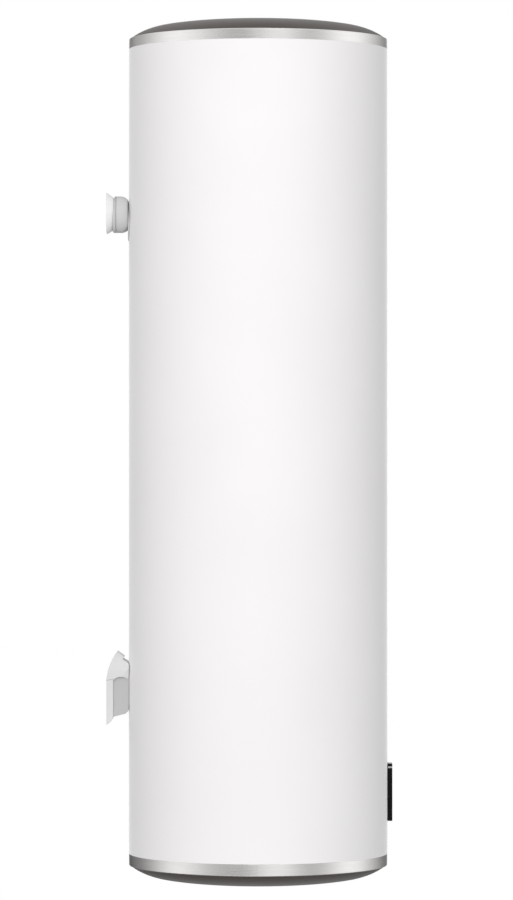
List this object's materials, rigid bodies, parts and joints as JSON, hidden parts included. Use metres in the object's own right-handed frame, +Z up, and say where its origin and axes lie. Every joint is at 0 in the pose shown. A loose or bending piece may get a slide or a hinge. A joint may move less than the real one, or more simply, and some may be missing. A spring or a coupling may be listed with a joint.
{
  "type": "tank water heater",
  "caption": "Slim wall-hung electric storage water heater: white cylinder with brushed end rings, grey domed caps, narrow black control strip and wall brackets.",
  "frame": {"origin": "on the wall plane, at the middle of the upper bracket's two anchor slots", "axes": "+Z up along the cylinder, +Y out of the back into the wall, front with the control strip towards -Y"},
  "size_m": [0.353, 0.3896, 1.173],
  "materials": {
    "jacket_white": "smooth semi-gloss white paint on sheet steel",
    "bracket_white": "satin white powder coat",
    "bracket_grey": "satin light grey powder coat",
    "pad_grey": "moulded",
    "trim_steel": "fine brushed round the ring",
    "cap_grey": "matte warm grey, fine grain",
    "panel_black": "gloss black",
    "window_smoke": "smoked clear window",
    "key_black": "satin black",
    "trim_bright": "bright",
    "enamelled_steel": "vitreous enamel over steel",
    "bare_steel": "zinc plated",
    "pipe_steel": "plated, cut thread",
    "element_sheath": "drawn tube",
    "anode_magnesium": "rough cast",
    "foam_yellow": "cellular polyurethane",
    "rubber_black": "moulded",
    "board_green": "solder resist",
    "part_black": "moulded",
    "part_white": "moulded",
    "cold_blue": "moulded",
    "hot_red": "moulded",
    "lead_red": "silicone insulation",
    "cable_grey": "smooth sheath"
  },
  "bodies": {
    "heater": {"outer_jacket": "jacket_white", "top_trim_ring": "trim_steel", "bottom_trim_ring": "trim_steel", "top_cap": "cap_grey", "cap_posts": "bare_steel", "foam_base_plate": "bare_steel", "insulation_foam": "foam_yellow", "tank_barrel": "enamelled_steel", "tank_upper_head": "enamelled_steel", "tank_lower_head": "enamelled_steel", "flange_neck": "enamelled_steel", "flange_studs": "bare_steel", "flange_gasket": "rubber_black", "heater_flange": "bare_steel", "flange_nuts": "bare_steel", "heating_element": "element_sheath", "element_terminals": "bare_steel", "anode_rod": "anode_magnesium", "anode_nut": "bare_steel", "sensor_well": "element_sheath", "thermal_cutout": "part_black", "cold_inlet_pipe": "pipe_steel", "inlet_diffuser": "part_white", "hot_outlet_pipe": "pipe_steel", "board_bracket": "bare_steel", "power_board": "board_green", "board_parts": "part_black", "terminal_block": "part_white", "element_leads": "lead_red", "display_cable": "cable_grey", "panel_bezel": "panel_black", "panel_trim": "trim_bright", "display_window": "window_smoke", "display_module": "part_black", "display_board": "board_green", "key_switches": "part_black", "panel_carrier": "part_black", "panel_gasket": "rubber_black", "hanger_drum": "bracket_grey", "hanger_wall_plate": "bracket_white", "hanger_pad": "pad_grey", "hanger_bolts": "bare_steel", "tank_straps": "enamelled_steel", "lower_bracket_body": "bracket_grey", "lower_wall_shoe": "bracket_white", "lower_pad": "pad_grey", "lower_bolts": "bare_steel"},
    "up_key_body": {"up_key": "key_black"},
    "down_key_body": {"down_key": "key_black"},
    "power_key_body": {"power_key": "key_black"},
    "reset_button": {"cutout_reset_button": "hot_red"},
    "bottom_cover": {"bottom_cap": "cap_grey", "cold_grommet": "cold_blue", "hot_grommet": "hot_red", "cap_screws": "bare_steel", "gland_body": "part_black", "gland_dome_nut": "part_black", "gland_seal": "rubber_black", "gland_locknut": "part_black"}
  },
  "joints": [
    {"name": "up_key_press", "type": "slide", "parent": "heater", "child": "up_key_body", "axis": [0, 1, 0], "range_m": [0, 0.0009], "stiffness_N_per_m": 1800, "springref_m": -0.0004},
    {"name": "down_key_press", "type": "slide", "parent": "heater", "child": "down_key_body", "axis": [0, 1, 0], "range_m": [0, 0.0009], "stiffness_N_per_m": 1800, "springref_m": -0.0004},
    {"name": "power_key_press", "type": "slide", "parent": "heater", "child": "power_key_body", "axis": [0, 1, 0], "range_m": [0, 0.0009], "stiffness_N_per_m": 1800, "springref_m": -0.0004},
    {"name": "reset_press", "type": "slide", "parent": "heater", "child": "reset_button", "axis": [0, 0, 1], "range_m": [0, 0.0015], "stiffness_N_per_m": 1500, "springref_m": -0.0005},
    {"name": "bottom_cover_drop", "type": "slide", "parent": "heater", "child": "bottom_cover", "axis": [0, 0, -1], "range_m": [0, 0.12]}
  ]
}
